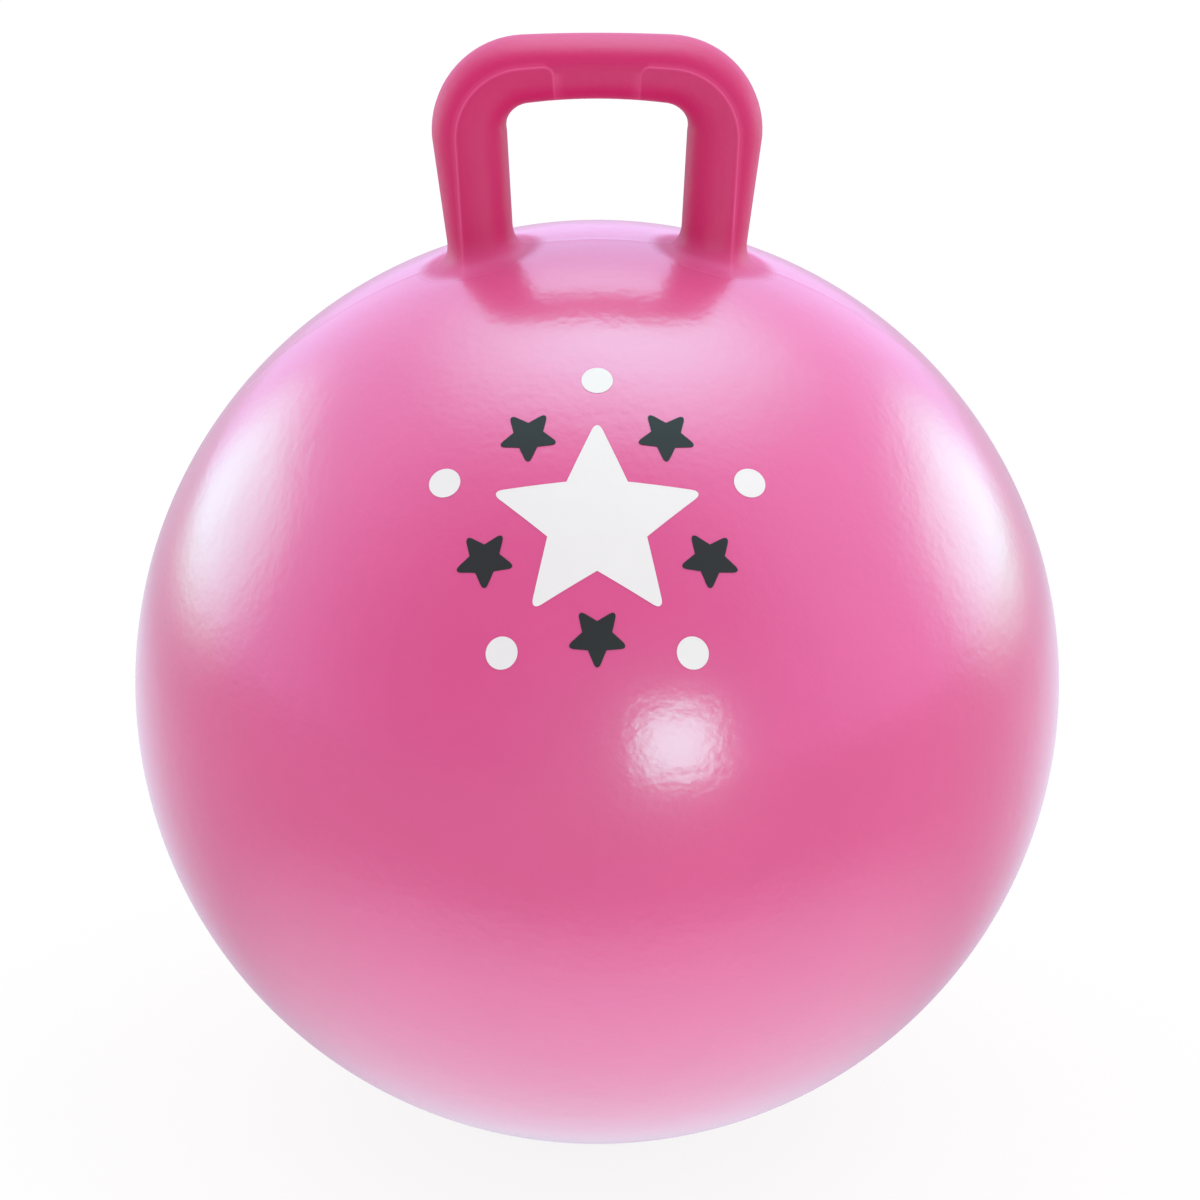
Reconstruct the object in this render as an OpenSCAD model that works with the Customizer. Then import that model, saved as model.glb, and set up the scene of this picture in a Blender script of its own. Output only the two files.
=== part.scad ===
// Hopper ball: an inflated skin with a hollow loop handle on its crown, a plugged air valve at the
// back and a printed star badge in front.
// Millimetres. +Z is up and the print faces -Y. The origin is the middle of the patch it rests on.

/* [Ball] */
// Outer diameter of the inflated skin
ball_d = 450; // [420:5:600]
// Thickness of the skin
skin_t = 1; // [0.8:0.1:2]
// Diameter of the patch that settles flat on the floor
rest_d = 60; // [50:1:90]

/* [Handle] */
// Width across the outside of the shoulders
handle_w = 154; // [146:1:175]
// Height of the top of the grip above the crown
handle_h = 98; // [92:1:120]
// Thickness of the grip at its middle, seen from the front
grip_h = 29; // [26:1:34]
// Depth of the handle from front to back
grip_d = 34; // [30:1:40]
// Width of a leg at its shoulder
leg_top_w = 35; // [30:0.5:38]
// Width of a leg at its foot
leg_foot_w = 30.5; // [29:0.5:36]
// Outward lean of a leg towards its shoulder, in degrees
leg_lean = 5; // [0:0.5:6]
// Radius of a shoulder along the middle of the tube
shoulder_r = 28; // [24:1:32]
// Radius of the arch along the middle of the grip
arch_r = 400; // [250:10:900]
// Squareness of the tube's section, where 2 is an ellipse
section_power = 2.5; // [2:0.1:3.5]
// Wall of the hollow handle
handle_t = 2.5; // [1.5:0.1:3.5]
// Reach of the flare that blends a foot into the skin
foot_flare = 11; // [6:0.5:15]
// Port in the skin that lets the air into a leg
port_d = 18; // [10:1:20]

/* [Valve] */
// Bore that takes the plug, or the nozzle of a pump
bore_d = 9; // [7:0.5:11]
// Wall of the neck round the bore
neck_t = 2.5; // [2:0.1:4]
// Length of the bore
bore_l = 13; // [10:0.5:20]
// Diameter of the collar that shows round the plug
collar_d = 26; // [24:0.5:32]
// Diameter of the flange bonded inside the skin
flange_d = 40; // [36:1:50]
// Thickness of the flange at its edge
flange_t = 1.4; // [1:0.1:2.5]
// Thickness of the floor of the dish under the plug's head
dish_floor_t = 2; // [1.5:0.1:3]

/* [Plug] */
// Diameter of the head
head_d = 17; // [15:0.5:20]
// Thickness of the head
head_t = 2.6; // [2:0.1:4]
// Length of the stem below the head
stem_l = 16; // [14:0.5:22]
// Sealing ribs along the stem
rib_count = 3; // [2:1:4]
// Height of a rib above the stem
rib_h = 0.6; // [0.3:0.1:1]
// Plain land of full diameter under the head
land_l = 2.5; // [1.5:0.1:4]
// Diameter of the hollow in the stem
core_d = 4; // [2:0.5:5]

/* [Print] */
// Height of the badge's middle round the ball, in degrees above its equator
badge_lift = 41; // [30:1:45]
// Diameter across the points of the big star
star_d = 100; // [80:1:110]
// Diameter across the points of a small star
small_star_d = 30; // [20:1:34]
// Diameter of a dot
dot_d = 14; // [8:1:18]
// Points on every star, and copies of the small stars and dots
points = 5; // [5:1:6]
// Diameter of the circle that the small stars stand on
small_star_pitch_d = 104; // [100:1:115]
// Diameter of the circle that the dots stand on
dot_pitch_d = 142; // [134:1:160]
// Rounding of a star's points
tip_r = 2.5; // [1:0.1:3]
// Thickness of the ink
ink_t = 0.2; // [0.1:0.05:0.4]

/* [Hidden] */
$fn = 96;

// Finishes
ball_pink = "#D9639B";
handle_pink = "#C23B6D";
plug_white = "#F1EEEC";
ink_white = "#EDEAEA";
ink_black = "#2E2F2F";

// Gap left between two faces that are bonded together
bond_gap = 0.05;
// Overrun of a cut past the face it goes through
overrun = 1;

// Ball
ball_r = ball_d / 2;
rest_r = rest_d / 2;
inner_r = ball_r - skin_t;
centre_z = sqrt(pow(ball_r, 2) - pow(rest_r, 2));

// Handle: the middle of its tube, seen from the front with the ball's centre at [0, 0]
section_sides = 32;
arch_steps = 3;
shoulder_steps = 9;
flare_steps = 5;
grip_swell_share = 0.25;
grip_z = ball_r + handle_h - grip_h / 2;
path_half_w = (handle_w - leg_top_w) / 2;
arch_turn = asin((path_half_w - shoulder_r) / (arch_r - shoulder_r));
leg_turn = 90 + leg_lean;
grip_end_h = grip_h + (leg_top_w - grip_h) * grip_swell_share;
foot_skin_r = ball_r + bond_gap;

// Valve, along its own axis from the pole of the skin, with its way out along +Z
bore_r = bore_d / 2;
collar_r = collar_d / 2;
flange_r = flange_d / 2;
neck_r = bore_r + neck_t;
head_clear = 0.4;
head_sink = 0.3;
dish_depth = head_sink + head_t;
boss_depth = dish_depth + dish_floor_t;
neck_depth = dish_depth + bore_l;
lead_in = 0.8;
dish_r = head_d / 2 + head_clear;
curve_steps = 4;
flange_depth = ball_r - sqrt(pow(inner_r - bond_gap, 2) - pow(flange_r, 2)) + flange_t;

// Plug
plug_clear = 0.05;
rib_r = bore_r - plug_clear;
stem_r = rib_r - rib_h;
rib_pitch = (stem_l - land_l) / rib_count;
rib_flank_share = 0.7;
head_edge = 0.5;
nail_notch_r = 2;
nail_notch_depth = 1.2;
dimple_r = 3.2;
dimple_depth = 0.4;
core_floor_t = 2;

// Print
star_waist_share = 0.46;
ink_inner_r = ball_r + bond_gap;
ink_outer_r = ink_inner_r + ink_t;
badge_r = dot_pitch_d / 2 + dot_d / 2;
ink_floor = sqrt(pow(ball_r, 2) - pow(badge_r + dot_d, 2));

// Middle of the tube on the arch of the grip, a given turn past its top
function arch_point(turn) = [arch_r * sin(turn), grip_z - arch_r * (1 - cos(turn))];

// Middle of the bend of the right-hand shoulder
shoulder_mid = arch_point(arch_turn) - shoulder_r * [sin(arch_turn), cos(arch_turn)];

// Middle of the tube on the right-hand shoulder, at a given turn
function shoulder_point(turn) = shoulder_mid + shoulder_r * [sin(turn), cos(turn)];

// Middle of the leg at its shoulder, and the way the leg goes down from there
leg_top = shoulder_point(leg_turn);
leg_way = [-sin(leg_lean), 0, -cos(leg_lean)];

// Distance from a point to the seat of the foot, going along a unit direction
function reach(from, way) =
    let (along = from * way)
    -along - sqrt(pow(along, 2) - (from * from - pow(foot_skin_r, 2)));

leg_l = reach([leg_top.x, 0, leg_top.y], leg_way);
foot_mid = leg_top + leg_l * [leg_way.x, leg_way.z];

// A point moved in or out along its own radius to the seat of the foot
function on_seat(p) = p * foot_skin_r / norm(p);

function unit(v) = v / norm(v);
function mix(a, b, share) = a + (b - a) * share;
function squared(v) = sign(v) * pow(abs(v), 2 / section_power);

// One ring of the tube: its middle, its turn from level, and half its width across the loop
function ring(mid, turn, half_w, inset) = [
    for (i = [0 : section_sides - 1])
        let (
            a = 360 * i / section_sides,
            out = (half_w - inset) * squared(cos(a)),
            deep = (grip_d / 2 - inset) * squared(sin(a))
        )
        [mid.x + out * sin(turn), deep, mid.y + out * cos(turn)]
];

// Rings of the right half, from the top of the grip to the leg
function grip_rings(inset) = concat(
    [for (k = [0 : arch_steps - 1])
        let (
            share = k / arch_steps,
            turn = arch_turn * share
        )
        ring(arch_point(turn), turn, mix(grip_h, grip_end_h, pow(share, 2)) / 2, inset)],
    [for (k = [0 : shoulder_steps])
        let (
            share = k / shoulder_steps,
            turn = mix(arch_turn, leg_turn, share)
        )
        ring(shoulder_point(turn), turn, mix(grip_end_h, leg_top_w, share) / 2, inset)]
);

// The ring where the sides of the leg would run straight into the skin
function foot_ring(inset) =
    let (
        top = ring(leg_top, leg_turn, leg_top_w / 2, inset),
        low = ring(foot_mid, leg_turn, leg_foot_w / 2, inset)
    )
    [for (i = [0 : section_sides - 1])
        let (way = unit(low[i] - top[i]))
        top[i] + way * reach(top[i], way)];

// Rings of the flare, which leaves the side of the leg and lands along the skin
function flare_rings() =
    let (
        top = ring(leg_top, leg_turn, leg_top_w / 2, 0),
        root = foot_ring(0),
        mid = [foot_mid.x, 0, foot_mid.y]
    )
    [for (k = [0 : flare_steps])
        let (t = k / flare_steps)
        [for (i = [0 : section_sides - 1])
            let (
                start = root[i] + unit(top[i] - root[i]) * foot_flare,
                end = on_seat(root[i] + unit(root[i] - mid) * foot_flare)
            )
            mix(mix(start, root[i], t), mix(root[i], end, t), t)]];

// Points on a ball-shaped face of the valve, going in towards its axis
function skin_curve(face_r, from_r, to_r) = [
    for (k = [0 : curve_steps])
        let (r = mix(from_r, to_r, k / curve_steps))
        [r, sqrt(pow(face_r, 2) - pow(r, 2)) - ball_r]
];

function mirrored(p) = [-p.x, p.y, p.z];

// Both halves of a run of rings, from the left foot over the grip to the right foot
function whole(half) = concat(
    [for (k = [len(half) - 1 : -1 : 1]) [for (p = half[k]) mirrored(p)]],
    half
);

function reversed(list) = [for (k = [len(list) - 1 : -1 : 0]) list[k]];

// The ring on the skin halfway between the edge of the flare and the hollow
function sole_ring(edge, hollow) =
    [for (i = [0 : section_sides - 1]) on_seat((edge[i] + hollow[i]) / 2)];

// A closed band of rings, each joined to the next and the last to the first
module ring_band(rings) {
    count = len(rings);
    polyhedron(
        points = [for (r = rings) each r],
        faces = [
            for (k = [0 : count - 1], i = [0 : section_sides - 1])
                let (
                    here = k * section_sides,
                    next = ((k + 1) % count) * section_sides,
                    j = (i + 1) % section_sides
                )
                each [
                    [here + i, here + j, next + j],
                    [here + i, next + j, next + i]
                ]
        ]
    );
}

module at_centre() {
    translate([0, 0, centre_z]) children();
}

// A ball of the given radius, cut level at the given height above the floor
module settled_ball(r, floor_z) {
    difference() {
        at_centre() sphere(r = r);
        translate([-ball_r, -ball_r, floor_z - ball_r]) cube([ball_d, ball_d, ball_r]);
    }
}

// Puts its children on the valve's axis, with the skin's pole at their origin
module at_valve() {
    at_centre() rotate([-90, 0, 0]) translate([0, 0, ball_r]) children();
}

module leg_port() {
    at_centre() translate([foot_mid.x, 0, foot_mid.y]) rotate([0, leg_lean, 0])
        cylinder(d = port_d, h = port_d, center = true);
}

// The inflated skin, open at the valve and under both legs
module ball_skin() {
    color(ball_pink) difference() {
        settled_ball(ball_r, 0);
        settled_ball(inner_r, skin_t);
        leg_port();
        mirror([1, 0, 0]) leg_port();
        at_valve() translate([0, 0, -flange_depth])
            cylinder(r = collar_r + bond_gap, h = flange_depth + overrun);
    }
}

// The hollow loop, from the flare of one foot to the flare of the other
module handle() {
    outer = concat(grip_rings(0), flare_rings());
    inner = concat(grip_rings(handle_t), [foot_ring(handle_t)]);
    sole = sole_ring(outer[len(outer) - 1], inner[len(inner) - 1]);
    color(handle_pink) at_centre() ring_band(concat(
        whole(outer),
        [sole],
        reversed(whole(inner)),
        [[for (p = sole) mirrored(p)]]
    ));
}

// The soft seat moulded into the skin: flange, collar and neck round the plug's bore
module valve_seat() {
    color(handle_pink) at_valve() rotate_extrude() polygon(concat(
        [
            [bore_r, -neck_depth],
            [neck_r, -neck_depth],
            [neck_r, -boss_depth],
            [collar_r, -boss_depth],
            [collar_r, -flange_depth],
            [flange_r, -flange_depth]
        ],
        skin_curve(inner_r - bond_gap, flange_r, collar_r),
        skin_curve(ball_r, collar_r, dish_r),
        [
            [dish_r, -dish_depth],
            [bore_r + lead_in, -dish_depth],
            [bore_r, -dish_depth - lead_in]
        ]
    ));
}

// One rib: a long flank that leads in and a short one that holds
module plug_rib() {
    flank = rib_pitch * rib_flank_share;
    cylinder(r1 = stem_r, r2 = rib_r, h = flank);
    translate([0, 0, flank]) cylinder(r1 = rib_r, r2 = stem_r, h = rib_pitch - flank);
}

// The stopper: a flat head with a nail notch, and a hollow ribbed stem
module valve_plug() {
    color(plug_white) at_valve() translate([0, 0, -dish_depth]) difference() {
        union() {
            cylinder(d = head_d, h = head_t - head_edge);
            translate([0, 0, head_t - head_edge])
                cylinder(r1 = head_d / 2, r2 = head_d / 2 - head_edge, h = head_edge);
            translate([0, 0, -land_l]) cylinder(r = rib_r, h = land_l);
            for (k = [0 : rib_count - 1])
                translate([0, 0, -stem_l + k * rib_pitch]) plug_rib();
        }
        translate([0, 0, head_t - dimple_depth]) cylinder(r = dimple_r, h = dimple_depth + overrun);
        translate([0, head_d / 2, head_t - nail_notch_depth])
            cylinder(r = nail_notch_r, h = nail_notch_depth + overrun);
        translate([0, 0, -stem_l - overrun])
            cylinder(d = core_d, h = stem_l + overrun - core_floor_t);
    }
}

// A star with rounded points, one of them up
module star(across) {
    offset(r = tip_r) offset(delta = -tip_r) polygon([
        for (i = [0 : 2 * points - 1])
            let (r = across / 2 * (i % 2 == 0 ? 1 : star_waist_share))
            r * [sin(180 * i / points), cos(180 * i / points)]
    ]);
}

// Copies of a flat shape round the badge, upright on a circle, starting at the given angle
module round_badge(pitch_d, from) {
    for (i = [0 : points - 1])
        rotate(from + 360 * i / points) translate([0, pitch_d / 2]) children();
}

// A flat shape laid over the front of the ball as a coat of ink
module ink() {
    at_centre() rotate([90 - badge_lift, 0, 0]) intersection() {
        translate([0, 0, ink_floor]) linear_extrude(height = ink_outer_r - ink_floor) children();
        difference() {
            sphere(r = ink_outer_r);
            sphere(r = ink_inner_r);
        }
    }
}

// The white pass of the badge: the big star and the dots beyond its points
module print_white() {
    color(ink_white) {
        ink() star(star_d);
        ink() round_badge(dot_pitch_d, 0) circle(d = dot_d);
    }
}

// The black pass of the badge: a small star in each waist of the big one
module print_black() {
    color(ink_black) ink() round_badge(small_star_pitch_d, 180 / points) star(small_star_d);
}

ball_skin();
handle();
valve_seat();
valve_plug();
print_white();
print_black();
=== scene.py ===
"""Looks of a hopper ball: a vinyl skin with a loop handle, an air valve and a printed star badge.

Metres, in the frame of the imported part: +Z is up, the print faces -Y, and the origin lies under the
middle of the ball.
"""

from __future__ import annotations

import logging
import math
from contextlib import contextmanager
from dataclasses import dataclass
from enum import Enum
from typing import Callable, Iterator, Sequence

import bmesh
import bpy
from mathutils import Matrix, Vector
from mathutils.kdtree import KDTree


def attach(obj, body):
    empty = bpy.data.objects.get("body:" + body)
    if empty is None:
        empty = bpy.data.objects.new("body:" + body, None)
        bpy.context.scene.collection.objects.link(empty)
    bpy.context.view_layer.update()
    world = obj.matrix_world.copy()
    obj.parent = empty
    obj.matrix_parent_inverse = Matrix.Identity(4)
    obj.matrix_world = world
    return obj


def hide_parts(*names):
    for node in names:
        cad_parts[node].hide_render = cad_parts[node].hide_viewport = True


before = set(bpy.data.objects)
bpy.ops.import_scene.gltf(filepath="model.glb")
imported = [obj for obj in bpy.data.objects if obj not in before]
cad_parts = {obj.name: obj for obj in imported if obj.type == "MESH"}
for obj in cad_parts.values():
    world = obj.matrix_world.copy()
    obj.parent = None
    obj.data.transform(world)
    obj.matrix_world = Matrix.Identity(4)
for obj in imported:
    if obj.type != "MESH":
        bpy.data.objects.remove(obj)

LOG = logging.getLogger("hopper_ball")
MM = 0.001
TINY = 1e-6
SOFTEN_STEPS = 3
WHITE = (1.0, 1.0, 1.0, 1.0)
DEEP_PINK = (0.525, 0.002, 0.097, 1.0)
PALE_PINK = (0.595, 0.060, 0.208, 1.0)
PLUG_WHITE = (0.83, 0.82, 0.80, 1.0)
INK_WHITE = (0.70, 0.685, 0.695, 1.0)
INK_BLACK = (0.024, 0.025, 0.026, 1.0)
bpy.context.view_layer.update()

Colour = tuple[float, float, float, float]
Ring = list[Vector]


class Body(Enum):
    """The rigid bodies that pieces ride on."""

    BALL = "ball"
    PLUG = "plug"


class Slot(Enum):
    """The record's material slots."""

    SKIN = "skin"
    HANDLE = "handle"
    VALVE = "valve"
    PLUG = "plug"
    INK_WHITE = "ink_white"
    INK_BLACK = "ink_black"


class Ink(Enum):
    """The two passes of the printed badge."""

    WHITE = "print_white"
    BLACK = "print_black"


def deselect_all() -> None:
    """Goes to object mode with nothing selected."""
    if bpy.context.mode != "OBJECT":
        bpy.ops.object.mode_set(mode="OBJECT")
    bpy.ops.object.select_all(action="DESELECT")


def focus(obj: bpy.types.Object) -> None:
    """Makes one object the only selected one, and the active one.

    Args:
        obj: The object.
    """
    deselect_all()
    obj.select_set(True)
    bpy.context.view_layer.objects.active = obj


def take(name: str) -> bpy.types.Object:
    """Names the primitive that was added last.

    Args:
        name: The piece's name.

    Returns:
        The primitive's object.
    """
    obj = bpy.context.active_object
    obj.name = name
    obj.data.name = name
    return obj


def settle(obj: bpy.types.Object) -> None:
    """Writes the object's place, turn and scale into its mesh."""
    focus(obj)
    bpy.ops.object.transform_apply(location=True, rotation=True, scale=True)


@contextmanager
def editing(obj: bpy.types.Object) -> Iterator[None]:
    """Edit mode on one object, with nothing selected in its mesh.

    Args:
        obj: The object.

    Yields:
        Nothing, while edit mode lasts.
    """
    focus(obj)
    bpy.ops.object.mode_set(mode="EDIT")
    bpy.ops.mesh.select_mode(type="VERT")
    bpy.ops.mesh.select_all(action="DESELECT")
    yield
    bpy.ops.object.mode_set(mode="OBJECT")


def pick(obj: bpy.types.Object, test: Callable[[bmesh.types.BMVert], bool]) -> None:
    """Selects, in edit mode, just the vertices that pass a test, and what lies between them.

    Args:
        obj: The object in edit mode.
        test: Says whether a vertex is wanted.
    """
    bpy.ops.mesh.select_all(action="DESELECT")
    mesh = bmesh.from_edit_mesh(obj.data)
    for vertex in mesh.verts:
        vertex.select_set(test(vertex))
    mesh.select_flush(True)
    bmesh.update_edit_mesh(obj.data)


def reshape(obj: bpy.types.Object, place: Callable[[Vector], Vector]) -> None:
    """Moves, in edit mode, each selected vertex to a new place.

    Args:
        obj: The object in edit mode.
        place: Gives the new place of a vertex from its old one.
    """
    mesh = bmesh.from_edit_mesh(obj.data)
    for vertex in mesh.verts:
        if vertex.select:
            vertex.co = place(vertex.co.copy())
    bmesh.update_edit_mesh(obj.data)


def face_outwards(obj: bpy.types.Object) -> None:
    """Merges doubled vertices and turns all faces outwards.

    Args:
        obj: The piece.
    """
    with editing(obj):
        bpy.ops.mesh.select_all(action="SELECT")
        bpy.ops.mesh.remove_doubles(threshold=TINY)
        bpy.ops.mesh.normals_make_consistent(inside=False)


def finish_with(obj: bpy.types.Object, kind: str, **settings: object) -> None:
    """Adds a modifier and applies it.

    Args:
        obj: The object to finish.
        kind: The modifier's type.
        settings: Its values by name.
    """
    focus(obj)
    modifier = obj.modifiers.new(kind.lower(), kind)
    for name, value in settings.items():
        setattr(modifier, name, value)
    bpy.ops.object.modifier_apply(modifier=modifier.name)


def smooth(obj: bpy.types.Object, angle: float) -> None:
    """Shades a piece smooth, with edges sharper than an angle left crisp."""
    focus(obj)
    bpy.ops.object.shade_smooth_by_angle(angle=angle)


def cut_away(obj: bpy.types.Object, cutter: bpy.types.Object) -> None:
    """Takes a cutter's shape out of a piece and removes the cutter."""
    finish_with(obj, "BOOLEAN", operation="DIFFERENCE", solver="EXACT", object=cutter)
    bpy.data.objects.remove(cutter)


def turned(name: str, profile: Sequence[tuple[float, float]], soften: float,
           steps: int) -> bpy.types.Object:
    """Spins an outline of [radius, height] corners about Z into a solid with softened edges.

    Args:
        name: The piece's name.
        profile: The outline's corners, in order round it. It may start and end on the axis.
        soften: Radius of the rounding of every corner off the axis.
        steps: Steps of the spin.

    Returns:
        The solid, with its axis on Z.
    """
    bpy.ops.mesh.primitive_circle_add(vertices=len(profile), radius=MM, fill_type="NGON")
    obj = take(name)
    with editing(obj):
        mesh = bmesh.from_edit_mesh(obj.data)
        mesh.verts.ensure_lookup_table()
        for vertex, (radius, height) in zip(mesh.verts, profile):
            vertex.co = Vector((radius, 0.0, height))
        bmesh.update_edit_mesh(obj.data)
        pick(obj, lambda vertex: vertex.co.x > TINY)
        bpy.ops.mesh.bevel(offset=soften, segments=SOFTEN_STEPS, affect="VERTICES", clamp_overlap=True)
        bpy.ops.mesh.select_all(action="SELECT")
        bpy.ops.mesh.delete(type="ONLY_FACE")
        bpy.ops.mesh.select_mode(type="EDGE")
        mesh = bmesh.from_edit_mesh(obj.data)
        for edge in mesh.edges:
            edge.select_set(all(vertex.co.x < TINY for vertex in edge.verts))
        bmesh.update_edit_mesh(obj.data)
        bpy.ops.mesh.delete(type="EDGE")
        bpy.ops.mesh.select_mode(type="VERT")
        bpy.ops.mesh.select_all(action="SELECT")
        bpy.ops.mesh.spin(steps=steps, angle=math.tau, center=(0, 0, 0), axis=(0, 0, 1))
    face_outwards(obj)
    return obj


class NodeGraph:
    """Short ways to add and join shader nodes in one tree."""

    def __init__(self, tree: bpy.types.NodeTree) -> None:
        """Starts from an empty tree."""
        self.tree = tree
        self.tree.nodes.clear()

    def add(self, kind: str, **settings: object) -> bpy.types.Node:
        """Adds a node.

        Args:
            kind: The node's type, without its ShaderNode prefix, or its whole type.
            settings: Values of its properties by name.

        Returns:
            The node.
        """
        node = self.tree.nodes.new(kind if kind.startswith("Node") else "ShaderNode" + kind)
        for name, value in settings.items():
            setattr(node, name, value)
        return node

    def feed(self, node: bpy.types.Node, socket: str | int, value: object) -> None:
        """Gives an input a constant, or joins an output to it.

        Args:
            node: The node that is fed.
            socket: The input's name or place.
            value: The constant or the output.
        """
        if isinstance(value, bpy.types.NodeSocket):
            self.tree.links.new(value, node.inputs[socket])
        else:
            node.inputs[socket].default_value = value

    def sum(self, operation: str, *values: object) -> bpy.types.NodeSocket:
        """A maths node on numbers.

        Args:
            operation: The maths node's operation.
            values: Constants or outputs, in the order of its inputs.

        Returns:
            The result.
        """
        node = self.add("Math", operation=operation)
        for index, value in enumerate(values):
            self.feed(node, index, value)
        return node.outputs[0]

    def vector_sum(self, operation: str, *values: object) -> bpy.types.Node:
        """A maths node on vectors.

        Args:
            operation: The maths node's operation.
            values: Constants or outputs, in the order of its inputs.

        Returns:
            The whole node, because it has two kinds of output.
        """
        node = self.add("VectorMath", operation=operation)
        for index, value in enumerate(values):
            self.feed(node, index, value)
        return node

    def ramp(self, value: object, low: float, high: float) -> bpy.types.NodeSocket:
        """A soft step from 0 at one value to 1 at another.

        Args:
            value: The value that is compared.
            low: Where the step is 0.
            high: Where the step is 1.

        Returns:
            The step.
        """
        node = self.add("MapRange", interpolation_type="SMOOTHSTEP")
        self.feed(node, "Value", value)
        self.feed(node, "From Min", low)
        self.feed(node, "From Max", high)
        return node.outputs["Result"]

    def span(self, value: object, low: float, high: float) -> bpy.types.NodeSocket:
        """Stretches a value from 0 and 1 to two limits.

        Args:
            value: The value, from 0 to 1.
            low: The result at 0.
            high: The result at 1.

        Returns:
            The result.
        """
        node = self.add("MapRange")
        self.feed(node, "Value", value)
        self.feed(node, "To Min", low)
        self.feed(node, "To Max", high)
        return node.outputs["Result"]

    def noise(self, vector: object, size: object, detail: float,
              roughness: float) -> bpy.types.NodeSocket:
        """Noise whose lumps have a size in metres.

        Args:
            vector: The place on the surface.
            size: The size of a lump.
            detail: Octaves of finer lumps.
            roughness: Weight of those octaves.

        Returns:
            A value round a half.
        """
        node = self.add("TexNoise")
        self.feed(node, "Vector", vector)
        self.feed(node, "Scale", self.sum("DIVIDE", 1.0, size))
        self.feed(node, "Detail", detail)
        self.feed(node, "Roughness", roughness)
        return node.outputs["Fac"]

    def mix(self, share: object, low: object, high: object) -> bpy.types.NodeSocket:
        """A colour between two colours.

        Args:
            share: How far the result lies towards the second.
            low: The first colour.
            high: The second colour.

        Returns:
            The colour.
        """
        node = self.add("Mix", data_type="RGBA")
        self.feed(node, "Factor", share)
        colours = [socket for socket in node.inputs if socket.type == "RGBA"]
        for socket, value in zip(colours, (low, high)):
            if isinstance(value, bpy.types.NodeSocket):
                self.tree.links.new(value, socket)
            else:
                socket.default_value = value
        return next(socket for socket in node.outputs if socket.type == "RGBA")


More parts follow.
